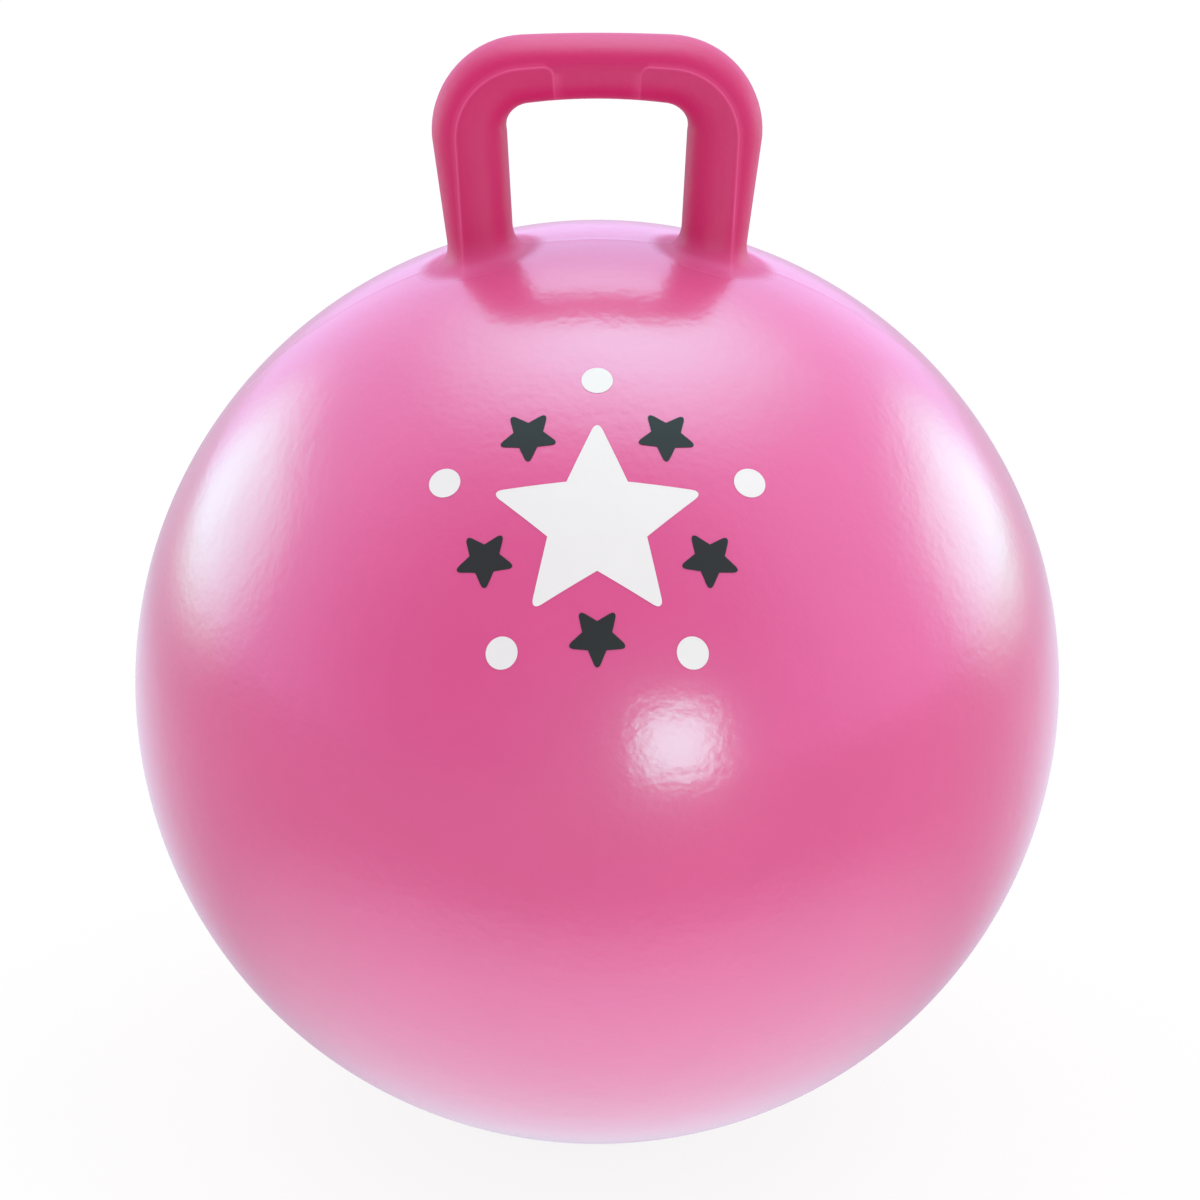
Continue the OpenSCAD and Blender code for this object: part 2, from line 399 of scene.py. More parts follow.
class SharedEffects:
    """Node groups that more than one material uses, each built once."""

    WAVE_SHARE = 1.6

    def __init__(self, ball: "BallSkin", handle: "LoopHandle") -> None:
        """Builds the groups.

        Args:
            ball: Gives the place and size of the skin.
            handle: Gives the place of the handle's feet.
        """
        self.peel = self._orange_peel()
        self.blush = self._foot_blush(ball, handle)

    @staticmethod
    def _new_group(name: str, inputs: dict[str, str], outputs: Sequence[str]) -> tuple[
            bpy.types.NodeTree, NodeGraph, bpy.types.Node, bpy.types.Node]:
        """An empty group with its sockets.

        Args:
            name: The group's name.
            inputs: Socket types by name.
            outputs: Names of outputs, all numbers.

        Returns:
            The group, its graph, its input node and its output node.
        """
        group = bpy.data.node_groups.new(name, "ShaderNodeTree")
        for label, kind in inputs.items():
            group.interface.new_socket(name=label, in_out="INPUT", socket_type=kind)
        for label in outputs:
            group.interface.new_socket(name=label, in_out="OUTPUT", socket_type="NodeSocketFloat")
        graph = NodeGraph(group)
        return group, graph, graph.add("NodeGroupInput"), graph.add("NodeGroupOutput")

    def _orange_peel(self) -> bpy.types.NodeTree:
        """Fine dimples on slow waves, and cloudy patches, of a moulded soft surface.

        Returns:
            The group: Height for a bump, and Cloud, from 0 to 1, for colour and gloss.
        """
        inputs = {"Vector": "NodeSocketVector", "Dimple": "NodeSocketFloat",
                  "Wave": "NodeSocketFloat", "Patch": "NodeSocketFloat"}
        group, graph, given, result = self._new_group("orange_peel", inputs, ("Height", "Cloud"))
        place = given.outputs["Vector"]
        dimples = graph.noise(place, given.outputs["Dimple"], detail=2.0, roughness=0.45)
        waves = graph.noise(place, given.outputs["Wave"], detail=1.0, roughness=0.4)
        height = graph.sum("MULTIPLY_ADD", waves, self.WAVE_SHARE, dimples)
        graph.feed(result, "Height", height)
        patches = graph.noise(place, given.outputs["Patch"], detail=4.0, roughness=0.55)
        graph.feed(result, "Cloud", patches)
        return group

    def _foot_blush(self, ball: "BallSkin", handle: "LoopHandle") -> bpy.types.NodeTree:
        """Masks that run from 1 up on the handle, over its flared feet, to 0 out on the skin.

        Args:
            ball: Gives the place and size of the skin.
            handle: Gives the place of the handle's feet.

        Returns:
            The group: Mask for colour, partly painted light on the shaded feet, and Dull, which reaches
                further out, for gloss.
        """
        inputs = {"Vector": "NodeSocketVector"}
        group, graph, given, result = self._new_group("foot_blush", inputs, ("Mask", "Dull"))
        place = graph.add("SeparateXYZ")
        graph.feed(place, 0, given.outputs["Vector"])
        foot = handle.foot_centre()
        across = graph.sum("SUBTRACT", graph.sum("ABSOLUTE", place.outputs["X"]), foot.x)
        flat = graph.add("CombineXYZ")
        graph.feed(flat, "X", across)
        graph.feed(flat, "Y", place.outputs["Y"])
        away = graph.vector_sum("LENGTH", flat.outputs[0]).outputs["Value"]
        from_centre = graph.vector_sum("SUBTRACT", given.outputs["Vector"], ball.centre)
        height = graph.vector_sum("LENGTH", from_centre.outputs[0]).outputs["Value"]
        lift = graph.sum("SUBTRACT", height, ball.radius)
        climb = graph.sum("SUBTRACT", lift, graph.sum("SUBTRACT", away, handle.foot_half))
        # Mask: the handle's deeper colour fading into the skin's, set high so that it also paints light
        # into the shaded roots of the feet
        graph.feed(result, "Mask", graph.ramp(climb, *handle.fade_and_painted_light_edges))
        graph.feed(result, "Dull", graph.ramp(climb, *handle.dull_edges))
        return group

    def place_peel(self, graph: NodeGraph, dimple: float, wave: float, patch: float) -> bpy.types.Node:
        """Places the moulded surface's group in a material, on the piece's own coordinates.

        Args:
            graph: The material's nodes.
            dimple: Size of its fine dimples.
            wave: Size of its slow waves.
            patch: Size of its cloudy patches.

        Returns:
            The group's node.
        """
        peel = graph.add("Group", node_tree=self.peel)
        graph.feed(peel, "Vector", graph.add("TexCoord").outputs["Object"])
        for socket, size in (("Dimple", dimple), ("Wave", wave), ("Patch", patch)):
            graph.feed(peel, socket, size)
        return peel


def new_material(name: str) -> tuple[bpy.types.Material, NodeGraph]:
    """Starts a material from an empty node tree.

    Args:
        name: The material's name.

    Returns:
        The material and its nodes.
    """
    material = bpy.data.materials.new(name)
    material.use_nodes = True
    return material, NodeGraph(material.node_tree)


def close_surface(graph: NodeGraph, shader: bpy.types.Node, height: bpy.types.NodeSocket,
                  depth: float) -> None:
    """Gives a shader its relief and makes it the material's surface.

    Args:
        graph: The material's nodes.
        shader: Its shader.
        height: The relief's height, in steps of a depth.
        depth: That depth.
    """
    bump = graph.add("Bump")
    graph.feed(bump, "Height", height)
    graph.feed(bump, "Distance", depth)
    graph.feed(shader, "Normal", bump.outputs["Normal"])
    graph.feed(graph.add("OutputMaterial"), "Surface", shader.outputs[0])


@dataclass(frozen=True)
class VinylFinish:
    """Soft glossy vinyl: deep where the wall is thick, paler where it is blown thin, with painted light
    on the handle's shaded feet and an optional painted highlight along the handle panel's edge.
    """

    name: str
    deep: Colour
    pale: Colour
    cloud_shade: float = 0.06
    roughness_deep: float = 0.54
    roughness_pale: float = 0.2
    roughness_swing: float = 0.03
    coat_deep: float = 0.0
    coat_pale: float = 0.8
    coat_roughness: float = 0.32
    ior: float = 1.54
    coat_ior: float = 1.5
    specular: float = 0.5
    specular_tint: Colour = (0.9, 0.75, 1.0, 1.0)
    sheen: float = 0.15
    sheen_roughness: float = 0.5
    sheen_tint: Colour = (1.0, 0.6, 1.0, 1.0)
    dimple: float = 4.0 * MM
    wave: float = 19.0 * MM
    patch: float = 70.0 * MM
    peel_height: float = 0.2 * MM
    # share and colour of a painted highlight along the handle panel's edge
    painted_highlight: float = 0.0
    painted_highlight_tint: Colour = (0.80, 0.13, 0.32, 1.0)

    def material(self, effects: SharedEffects) -> bpy.types.Material:
        """Builds the material.

        Args:
            effects: The shared node groups.

        Returns:
            The material.
        """
        material, graph = new_material(self.name)
        peel = effects.place_peel(graph, self.dimple, self.wave, self.patch)
        cloud = peel.outputs["Cloud"]
        blush = graph.add("Group", node_tree=effects.blush)
        graph.feed(blush, "Vector", graph.add("TexCoord").outputs["Object"])
        shader = graph.add("BsdfPrincipled")
        # the handle's deeper colour fades into the skin's; the fade reaches high on the feet, painting
        # light into their shaded roots
        tint = graph.mix(blush.outputs["Mask"], self.pale, self.deep)
        # painted highlight: a lighter tint along the handle panel's crisp edge
        if self.painted_highlight:
            highlight_share = graph.add("Attribute", attribute_name="painted_highlight").outputs["Fac"]
            tint = graph.mix(graph.sum("MULTIPLY", highlight_share, self.painted_highlight), tint, self.painted_highlight_tint)
        shade = graph.span(cloud, 1.0 - self.cloud_shade, 1.0 + self.cloud_shade)
        shaded = graph.vector_sum("SCALE", tint)
        graph.feed(shaded, "Scale", shade)
        graph.feed(shader, "Base Color", shaded.outputs[0])
        gloss = graph.span(blush.outputs["Dull"], self.roughness_pale, self.roughness_deep)
        swing = graph.span(cloud, -self.roughness_swing, self.roughness_swing)
        graph.feed(shader, "Roughness", graph.sum("ADD", gloss, swing))
        coat = graph.span(blush.outputs["Dull"], self.coat_pale, self.coat_deep)
        graph.feed(shader, "Coat Weight", coat)
        constants = {
            "Coat Roughness": self.coat_roughness, "Coat IOR": self.coat_ior, "IOR": self.ior,
            "Specular IOR Level": self.specular, "Specular Tint": self.specular_tint,
            "Sheen Weight": self.sheen, "Sheen Roughness": self.sheen_roughness,
            "Sheen Tint": self.sheen_tint}
        for socket, value in constants.items():
            graph.feed(shader, socket, value)
        close_surface(graph, shader, peel.outputs["Height"], self.peel_height)
        return material


@dataclass(frozen=True)
class FlatFinish:
    """One colour with a fine grain: screen ink, or a small moulded fitting."""

    name: str
    colour: Colour
    cloud_shade: float = 0.04
    roughness: float = 0.4
    roughness_swing: float = 0.08
    specular: float = 0.5
    dimple: float = 1.2 * MM
    wave: float = 19.0 * MM
    patch: float = 12.0 * MM
    grain_height: float = 0.006 * MM

    def material(self, effects: SharedEffects) -> bpy.types.Material:
        """Builds the material.

        Args:
            effects: The shared node groups.

        Returns:
            The material.
        """
        material, graph = new_material(self.name)
        peel = effects.place_peel(graph, self.dimple, self.wave, self.patch)
        cloud = peel.outputs["Cloud"]
        shader = graph.add("BsdfPrincipled")
        darker = tuple(c * (1.0 - self.cloud_shade) for c in self.colour[:3]) + (1.0,)
        graph.feed(shader, "Base Color", graph.mix(cloud, darker, self.colour))
        glossy, dull = self.roughness - self.roughness_swing, self.roughness + self.roughness_swing
        graph.feed(shader, "Roughness", graph.span(cloud, glossy, dull))
        graph.feed(shader, "Specular IOR Level", self.specular)
        close_surface(graph, shader, peel.outputs["Height"], self.grain_height)
        return material


def dress(obj: bpy.types.Object, material: bpy.types.Material, body: Body, slot: Slot,
          *nodes: str) -> None:
    """Gives a finished piece its material, its body and the nodes it stands for.

    Args:
        obj: The piece.
        material: Its material.
        body: The body it rides on.
        slot: The record's slot its finish belongs to. Not used.
        nodes: The solids that it replaces.
    """
    obj.data.materials.clear()
    obj.data.materials.append(material)
    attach(obj, body.value)
    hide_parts(*nodes)
    LOG.info("%s: %d faces, on %s", obj.name, len(obj.data.polygons), body.value)


@dataclass
class BallSkin:
    """The blown-up skin: two mould halves that meet in a raised seam in the plane of the handle."""

    radius: float = 225.0 * MM
    wall: float = 1.0 * MM
    rest_radius: float = 30.0 * MM
    rest_inset: float = 4.0 * MM
    hole_radius: float = 13.05 * MM
    seam_half: float = 0.8 * MM
    seam_rise: float = 0.07 * MM
    seam_strips: int = 4
    segments: int = 256
    rings: int = 128
    crease: float = math.radians(35.0)

    @property
    def centre(self) -> Vector:
        """The middle of the ball."""
        return Vector((0.0, 0.0, math.sqrt(self.radius**2 - self.rest_radius**2)))

    def seam_lift(self, offset: float) -> float:
        """Height of the seam's bead.

        Args:
            offset: Distance from the bead's middle.

        Returns:
            The height.
        """
        if abs(offset) >= self.seam_half:
            return 0.0
        return self.seam_rise * 0.5 * (1.0 + math.cos(math.pi * offset / self.seam_half))

    def build(self, handle: "LoopHandle") -> bpy.types.Object:
        """Models the skin.

        Args:
            handle: Says where the ports under its legs go.

        Returns:
            The skin.
        """
        bpy.ops.mesh.primitive_uv_sphere_add(
            segments=self.segments, ring_count=self.rings, radius=self.radius,
            location=self.centre, rotation=(math.pi / 2, 0.0, 0.0))
        skin = take("vinyl_skin")
        settle(skin)
        with editing(skin):
            self._raise_seam(skin)
            self._open_and_settle(skin)
        finish_with(skin, "SOLIDIFY", thickness=self.wall, offset=-1.0, use_even_offset=True)
        for side in (1.0, -1.0):
            cut_away(skin, handle.port_cutter(side))
        smooth(skin, self.crease)
        return skin

    def _raise_seam(self, skin: bpy.types.Object) -> None:
        """Splits the ring between the mould halves into strips and raises them to a bead.

        Args:
            skin: The skin, in edit mode.
        """
        pick(skin, lambda vertex: abs(vertex.co.y) < TINY)
        bpy.ops.mesh.bevel(offset=self.seam_half, segments=self.seam_strips, affect="EDGES")
        pick(skin, lambda vertex: abs(vertex.co.y) < self.seam_half)
        middle = self.centre

        def lifted(place: Vector) -> Vector:
            """A place on the bead, above its old one."""
            out = (place - middle).normalized()
            return middle + out * (self.radius + self.seam_lift(place.y))

        reshape(skin, lifted)

    def _open_and_settle(self, skin: bpy.types.Object) -> None:
        """Opens the valve's hole at the back pole and presses the skin flat on the floor.

        Args:
            skin: The skin, in edit mode.
        """
        pole = math.sqrt(self.radius**2 - self.hole_radius**2)
        bpy.ops.mesh.select_all(action="SELECT")
        bpy.ops.mesh.bisect(plane_co=(0.0, pole, 0.0), plane_no=(0.0, 1.0, 0.0), clear_outer=True)
        bpy.ops.mesh.select_all(action="SELECT")
        bpy.ops.mesh.bisect(plane_co=(0.0, 0.0, 0.0), plane_no=(0.0, 0.0, 1.0), clear_inner=True,
                            use_fill=True)
        bpy.ops.mesh.inset(thickness=self.rest_inset)


@dataclass
class LoopHandle:
    """The hollow loop: an arched grip, two rounded shoulders and two legs that flare into the skin.

    The front of each half carries a shallow raised panel, from beside the middle of the grip down
    to the foot, with a painted highlight along its edge.
    """

    ball: BallSkin
    width: float = 154.0 * MM
    rise: float = 98.0 * MM
    grip: float = 29.0 * MM
    deep: float = 34.0 * MM
    leg_top: float = 35.0 * MM
    leg_foot: float = 30.5 * MM
    lean: float = math.radians(5.0)
    shoulder_r: float = 28.0 * MM
    arch_r: float = 400.0 * MM
    power: float = 2.5
    wall: float = 2.5 * MM
    flare: float = 11.0 * MM
    grip_swell: float = 0.25
    bond: float = 0.05 * MM
    edge_sink: float = 0.02 * MM
    port_radius: float = 9.0 * MM
    port_sides: int = 48
    panel_rise: float = 0.5 * MM
    panel_step: float = 0.8 * MM
    panel_corner: float = 4.5 * MM
    panel_start: float = 20.0 * MM
    panel_outer: tuple[float, float] = (4.3 * MM, 8.4 * MM)
    panel_fade: float = 14.0 * MM
    # width of the painted highlight along the panel's edge
    painted_highlight_half: float = 0.9 * MM
    # the colour fade from handle to skin, set high so that it also paints light into the shaded roots of
    # the feet
    fade_and_painted_light_edges: tuple[float, float] = (-9.0 * MM, 13.0 * MM)
    dull_edges: tuple[float, float] = (-17.0 * MM, -8.0 * MM)
    back_steps: int = 26
    side_steps: int = 9
    panel_steps: int = 18
    shoulder_steps: int = 18
    flare_steps: int = 16
    flare_ease: float = 1.7
    edge_marks: tuple[float, ...] = (-0.45 * MM, -0.22 * MM, 0.0, 0.22 * MM, 0.45 * MM)
    corner_marks: tuple[float, ...] = (1.0 * MM, 1.7 * MM, 2.5 * MM, 3.4 * MM, 4.4 * MM, 5.6 * MM)
    ring_pitch: float = 5.0 * MM
    hollow_steps: int = 3
    mirror_gap: float = 10 * TINY
    crease: float = math.radians(50.0)

    @property
    def foot_half(self) -> float:
        """Half the width of a leg at its foot."""
        return self.leg_foot / 2

    def _arch_end(self) -> float:
        """Turn of the loop where the grip's arch meets the shoulder."""
        half = (self.width - self.leg_top) / 2
        return math.asin((half - self.shoulder_r) / (self.arch_r - self.shoulder_r))

    @property
    def _leg_way(self) -> Vector:
        """Direction of the right-hand leg, going down."""
        return Vector((-math.sin(self.lean), 0.0, -math.cos(self.lean)))

    def _lengths(self) -> tuple[float, float, float]:
        """Distances along the loop from the middle of the grip.

        Returns:
            The distances to the shoulder, the leg and the foot.
        """
        arch = self.arch_r * self._arch_end()
        leg = arch + self.shoulder_r * (math.pi / 2 + self.lean - self._arch_end())
        return arch, leg, leg + self._reach(self._shoulder_point(math.pi / 2 + self.lean), self._leg_way)

    def _arch_point(self, turn: float) -> Vector:
        """Middle of the tube on the grip."""
        top = self.ball.radius + self.rise - self.grip / 2
        return Vector((self.arch_r * math.sin(turn), 0.0, top - self.arch_r * (1.0 - math.cos(turn))))

    def _shoulder_point(self, turn: float) -> Vector:
        """Middle of the tube on the right-hand shoulder.

        Args:
            turn: Turn of the loop from level.

        Returns:
            The place, from the ball's centre.
        """
        end = self._arch_end()
        out = Vector((math.sin(turn) - math.sin(end), 0.0, math.cos(turn) - math.cos(end)))
        return self._arch_point(end) + self.shoulder_r * out

    def _reach(self, start: Vector, way: Vector) -> float:
        """Distance from a point to the seat of the foot.

        Args:
            start: The point, from the ball's centre.
            way: The direction, of length 1.

        Returns:
            The distance.
        """
        along = start.dot(way)
        seat = self.ball.radius + self.bond
        return -along - math.sqrt(along**2 - start.length_squared + seat**2)

    def _section(self, along: float) -> tuple[Vector, float, float]:
        """The tube at a distance along the right half of the loop.

        Args:
            along: Distance from the middle of the grip.

        Returns:
            The middle of the tube, from the ball's centre, its turn from level and half its width.
        """
        arch, leg, foot = self._lengths()
        grip_end = self.grip + (self.leg_top - self.grip) * self.grip_swell
        if along <= arch:
            width = self.grip + (grip_end - self.grip) * (along / arch) ** 2
            return self._arch_point(along / self.arch_r), along / self.arch_r, width / 2
        if along <= leg:
            turn = self._arch_end() + (along - arch) / self.shoulder_r
            width = grip_end + (self.leg_top - grip_end) * (along - arch) / (leg - arch)
            return self._shoulder_point(turn), turn, width / 2
        turn = math.pi / 2 + self.lean
        width = self.leg_top + (self.leg_foot - self.leg_top) * (along - leg) / (foot - leg)
        return self._shoulder_point(turn) + self._leg_way * (along - leg), turn, width / 2

    def foot_centre(self) -> Vector:
        """Middle of the right-hand foot, in the part's frame."""
        return self.ball.centre + self._section(self._lengths()[2])[0]

    def port_cutter(self, side: float) -> bpy.types.Object:
        """A cylinder for the port that lets the air into a leg.

        Args:
            side: 1 for the right-hand leg and -1 for the left.

        Returns:
            The cutter.
        """
        foot = self.foot_centre()
        bpy.ops.mesh.primitive_cylinder_add(
            vertices=self.port_sides, radius=self.port_radius, depth=2 * self.port_radius,
            location=(side * foot.x, 0.0, foot.z), rotation=(0.0, side * self.lean, 0.0))
        return take("port_cutter")

    def _panel_edge(self, along: float) -> float:
        """Where the panel's outer edge lies across the tube.

        Args:
            along: Distance from the middle of the grip.

        Returns:
            Its distance from the middle of the tube.
        """
        arch, _, foot = self._lengths()
        share = min(max((along - arch) / (foot - arch), 0.0), 1.0)
        grip_edge, foot_edge = self.panel_outer
        return grip_edge + (foot_edge - grip_edge) * share

    def _panel_depth(self, along: float, across: float) -> float:
        """How far a point lies inside the panel's crisp edge, which has a rounded corner.

        Args:
            along: Distance from the middle of the grip.
            across: Distance from the middle of the tube towards the outside of the loop.

        Returns:
            The depth, below 0 outside the panel.
        """
        end, side = along - self.panel_start, self._panel_edge(along) - across
        near = max(self.panel_corner - end, 0.0), max(self.panel_corner - side, 0.0)
        return self.panel_corner - math.hypot(*near) if all(near) else min(end, side)

    def _panel_lift(self, along: float, across: float) -> float:
        """Height of the raised panel, which fades out across the tube and towards the foot.

        Args:
            along: Distance from the middle of the grip.
            across: Distance from the middle of the tube towards the outside of the loop.

        Returns:
            The height.
        """
        foot = self._lengths()[2] - self.flare
        shares = (self._panel_depth(along, across) / self.panel_step + 0.5,
                  (across - self._panel_edge(along)) / self.panel_fade + 1.0,
                  (foot - along) / self.panel_fade)
        lift = self.panel_rise
        for share in shares:
            share = min(max(share, 0.0), 1.0)
            lift *= share * share * (3.0 - 2.0 * share)
        return lift

    def _turns(self, along: float) -> list[float]:
        """Angles round the section of a ring, dense at the panel's edge and at the seam's bead.

        Args:
            along: Distance of the ring from the middle of the grip.

        Returns:
            As many angles for every ring, from the outside of the loop over the back.
        """
        half = self._section(along)[2]
        seam = self.ball.seam_half / (self.deep / 2)
        beads = [math.asin((share * seam) ** (self.power / 2)) for share in (0.5, 1.0)]

        def front(across: float) -> float:
            """Angle of a point on the front, at a distance across the tube."""
            return math.tau - math.acos(math.copysign(abs(across / half) ** (self.power / 2), across))

        def between(low: float, high: float, steps: int) -> list[float]:
            """Values that split a span into equal steps, without its ends."""
            return [low + (high - low) * step / steps for step in range(1, steps)]

        edge = self._panel_edge(along)
        inner = front(edge - self.panel_fade)
        marks = [front(edge + mark) for mark in self.edge_marks]
        flats = between(edge - self.panel_fade, edge + self.edge_marks[0], self.panel_steps)
        turns = [0.0] + beads + between(beads[-1], math.pi - beads[-1], self.back_steps)
        turns += [math.pi - bead for bead in reversed(beads)] + [math.pi]
        turns += [math.pi + bead for bead in beads]
        turns += between(math.pi + beads[-1], inner, self.side_steps) + [inner]
        turns += [front(across) for across in flats] + marks
        turns += between(marks[-1], math.tau - beads[-1], self.side_steps)
        return turns + [math.tau - bead for bead in reversed(beads)]

    def _bead(self, angle: float) -> float:
        """Height of the seam's bead at an angle round the section."""
        return self.ball.seam_lift(self.deep / 2 * abs(math.sin(angle)) ** (2 / self.power))

    def _ring(self, along: float, inset: float, panel: bool = False) -> Ring:
        """One ring of the tube.

        Args:
            along: Its distance from the middle of the grip.
            inset: Its depth under the outer face.
            panel: Whether the raised panel shows on it.

        Returns:
            Its points.
        """
        middle, turn, half = self._section(along)
        out = Vector((math.sin(turn), 0.0, math.cos(turn)))
        points = []
        for angle in self._turns(along):
            across, depth = math.cos(angle), math.sin(angle)
            bead = 0.0 if inset else self._bead(angle)
            reach = math.copysign((half - inset) * abs(across) ** (2 / self.power) + bead, across)
            back = math.copysign((self.deep / 2 - inset) * abs(depth) ** (2 / self.power), depth)
            if panel and depth < 0.0:
                back -= self._panel_lift(along, reach)
            points.append(middle + out * reach + Vector((0.0, back, 0.0)))
        return points

    def _root_ring(self, inset: float) -> Ring:
        """The ring where the sides of the leg would run straight into the skin.

        Args:
            inset: Its depth under the outer face.

        Returns:
            Its points.
        """
        _, leg, foot = self._lengths()
        top, low = self._ring(leg, inset), self._ring(foot, inset)
        ways = [(end - start).normalized() for start, end in zip(top, low)]
        return [start + way * self._reach(start, way) for start, way in zip(top, ways)]

    def _loop_rings(self) -> list[Ring]:
        """Rings of the outer face on the grip and the shoulder.

        Returns:
            The rings from the middle of the grip to just above the leg.
        """
        arch, leg, _ = self._lengths()
        marks = [self.ring_pitch * step for step in range(int(self.panel_start / self.ring_pitch))]
        marks += [self.panel_start + mark for mark in self.edge_marks + self.corner_marks]
        marks.append((marks[-1] + arch) / 2)
        steps = self.shoulder_steps
        marks += [arch + (leg - arch) * step / steps for step in range(steps)]
        return [self._ring(along, 0.0, panel=True) for along in marks]

    def _mark_painted_highlight(self, handle: bpy.types.Object) -> None:
        """Writes how near each point lies to the panel's crisp edge as an attribute of the mesh, which
        the material uses to paint a highlight along that edge.

        Args:
            handle: The finished handle.
        """
        painted_highlight = handle.data.attributes.new("painted_highlight", "FLOAT", "POINT")
        for vertex, value in zip(handle.data.vertices, painted_highlight.data):
            place = vertex.co - self.ball.centre
            if place.y < 0.0:
                depth = self._panel_depth(*self._on_front(Vector((abs(place.x), place.y, place.z))))
                value.value = max(1.0 - abs(depth) / self.painted_highlight_half, 0.0)

    def _on_front(self, place: Vector) -> tuple[float, float]:
        """Finds a point of the right half on the loop.

        Args:
            place: The point, from the ball's centre.

        Returns:
            Its distance along the loop and its distance across the tube.
        """
        arch, leg, _ = self._lengths()
        end, down = self._arch_end(), math.pi / 2 + self.lean
        top = self.ball.radius + self.rise - self.grip / 2 - self.arch_r
        turn = math.atan2(place.x, place.z - top)
        if turn <= end:
            return self.arch_r * turn, math.hypot(place.x, place.z - top) - self.arch_r
        hub = self._arch_point(end) - self.shoulder_r * Vector((math.sin(end), 0.0, math.cos(end)))
        turn = math.atan2(place.x - hub.x, place.z - hub.z)
        if turn <= down:
            return (arch + self.shoulder_r * (turn - end),
                    math.hypot(place.x - hub.x, place.z - hub.z) - self.shoulder_r)
        away = place - self._shoulder_point(down)
        return (leg - away.x * math.sin(self.lean) - away.z * math.cos(self.lean),
                away.x * math.cos(self.lean) - away.z * math.sin(self.lean))

    def _across(self, along: float, angle: float) -> float:
        """Distance of a point of the section from the middle of the tube, towards the loop's outside."""
        half, level = self._section(along)[2], math.cos(angle)
        return math.copysign(half * abs(level) ** (2 / self.power), level)

    def _leg_rings(self, starts: Ring) -> list[Ring]:
        """Rings of the outer face down the leg, with the panel on its front.

        Args:
            starts: The ring where the flare starts.

        Returns:
            The rings from the top of the leg to just above the flare.
        """
        _, leg, foot = self._lengths()
        top, reach = self._ring(leg, 0.0), foot - self.flare - leg
        steps = math.ceil(reach / self.ring_pitch)
        rings = []
        for step in range(steps):
            along = leg + reach * step / steps
            ring = [high.lerp(low, step / steps) for high, low in zip(top, starts)]
            for point, angle in zip(ring, self._turns(along)):
                if math.sin(angle) < 0.0:
                    point.y -= self._panel_lift(along, self._across(along, angle))
            rings.append(ring)
        return rings

    def _foot_rings(self) -> list[Ring]:
        """Rings of the outer face down the leg and over the flare, which lands along the skin.

        Returns:
            The rings from the top of the leg to the foot's edge.
        """
        _, leg, foot = self._lengths()
        top, root, middle = self._ring(leg, 0.0), self._root_ring(0.0), self._section(foot)[0]
        starts = [low + (high - low).normalized() * self.flare for high, low in zip(top, root)]
        seat = self.ball.radius - self.edge_sink
        ends = []
        for low, angle in zip(root, self._turns(foot)):
            edge = low + (low - middle).normalized() * self.flare
            ends.append(edge.normalized() * (seat + self._bead(angle)))
        bends = [low * (end.length_squared / low.dot(end)) for low, end in zip(root, ends)]
        rings = self._leg_rings(starts)
        for step in range(self.flare_steps + 1):
            share = 1.0 - (1.0 - step / self.flare_steps) ** self.flare_ease
            left = 1.0 - share
            first, second, third, last = left**3, 3.0 * left**2 * share, 3.0 * left * share**2, share**3
            rings.append([first * start + second * bend + third * (bend + end) / 2 + last * end
                          for start, bend, end in zip(starts, bends, ends)])
        return rings

    def _half_rings(self) -> list[Ring]:
        """All rings of the right half.

        Returns:
            The rings down its outer face, across the sole and up its hollow.
        """
        arch, leg, _ = self._lengths()
        outer = self._loop_rings() + self._foot_rings()
        marks = [arch * step / self.hollow_steps for step in range(self.hollow_steps)]
        steps = self.shoulder_steps // 2
        marks += [arch + (leg - arch) * step / steps for step in range(steps + 1)]
        hollow = [self._ring(along, self.wall) for along in marks] + [self._root_ring(self.wall)]
        seat = self.ball.radius + self.bond
        sole = [((edge + inner) / 2).normalized() * seat for edge, inner in zip(outer[-1], hollow[-1])]
        return outer + [sole] + hollow[::-1]

    def build(self) -> bpy.types.Object:
        """Models the handle by extruding its section ring by ring, and mirrors it.

        Returns:
            The handle.
        """
        rings = [[self.ball.centre + point for point in ring] for ring in self._half_rings()]
        bpy.ops.mesh.primitive_circle_add(vertices=len(rings[0]), radius=self.grip / 2)
        handle = take("loop_handle")
        with editing(handle):
            bpy.ops.mesh.select_all(action="SELECT")
            mesh = bmesh.from_edit_mesh(handle.data)
            for vertex, place in zip(mesh.verts, rings[0]):
                vertex.co = place
            bmesh.update_edit_mesh(handle.data)
            for old, new in zip(rings, rings[1:]):
                bpy.ops.mesh.extrude_edges_indiv()
                self._move_ring(handle, old, new)
        finish_with(handle, "MIRROR", use_mirror_merge=True, merge_threshold=self.mirror_gap)
        face_outwards(handle)
        smooth(handle, self.crease)
        self._mark_painted_highlight(handle)
        return handle

    @staticmethod
    def _move_ring(handle: bpy.types.Object, old: Ring, new: Ring) -> None:
        """Moves the ring that was just extruded, each point to its own new place.

        Args:
            handle: The handle, in edit mode.
            old: Where the ring's points are.
            new: Where they go, in the same order.
        """
        tree = KDTree(len(old))
        for index, place in enumerate(old):
            tree.insert(place, index)
        tree.balance()
        reshape(handle, lambda place: new[tree.find(place)[1]])


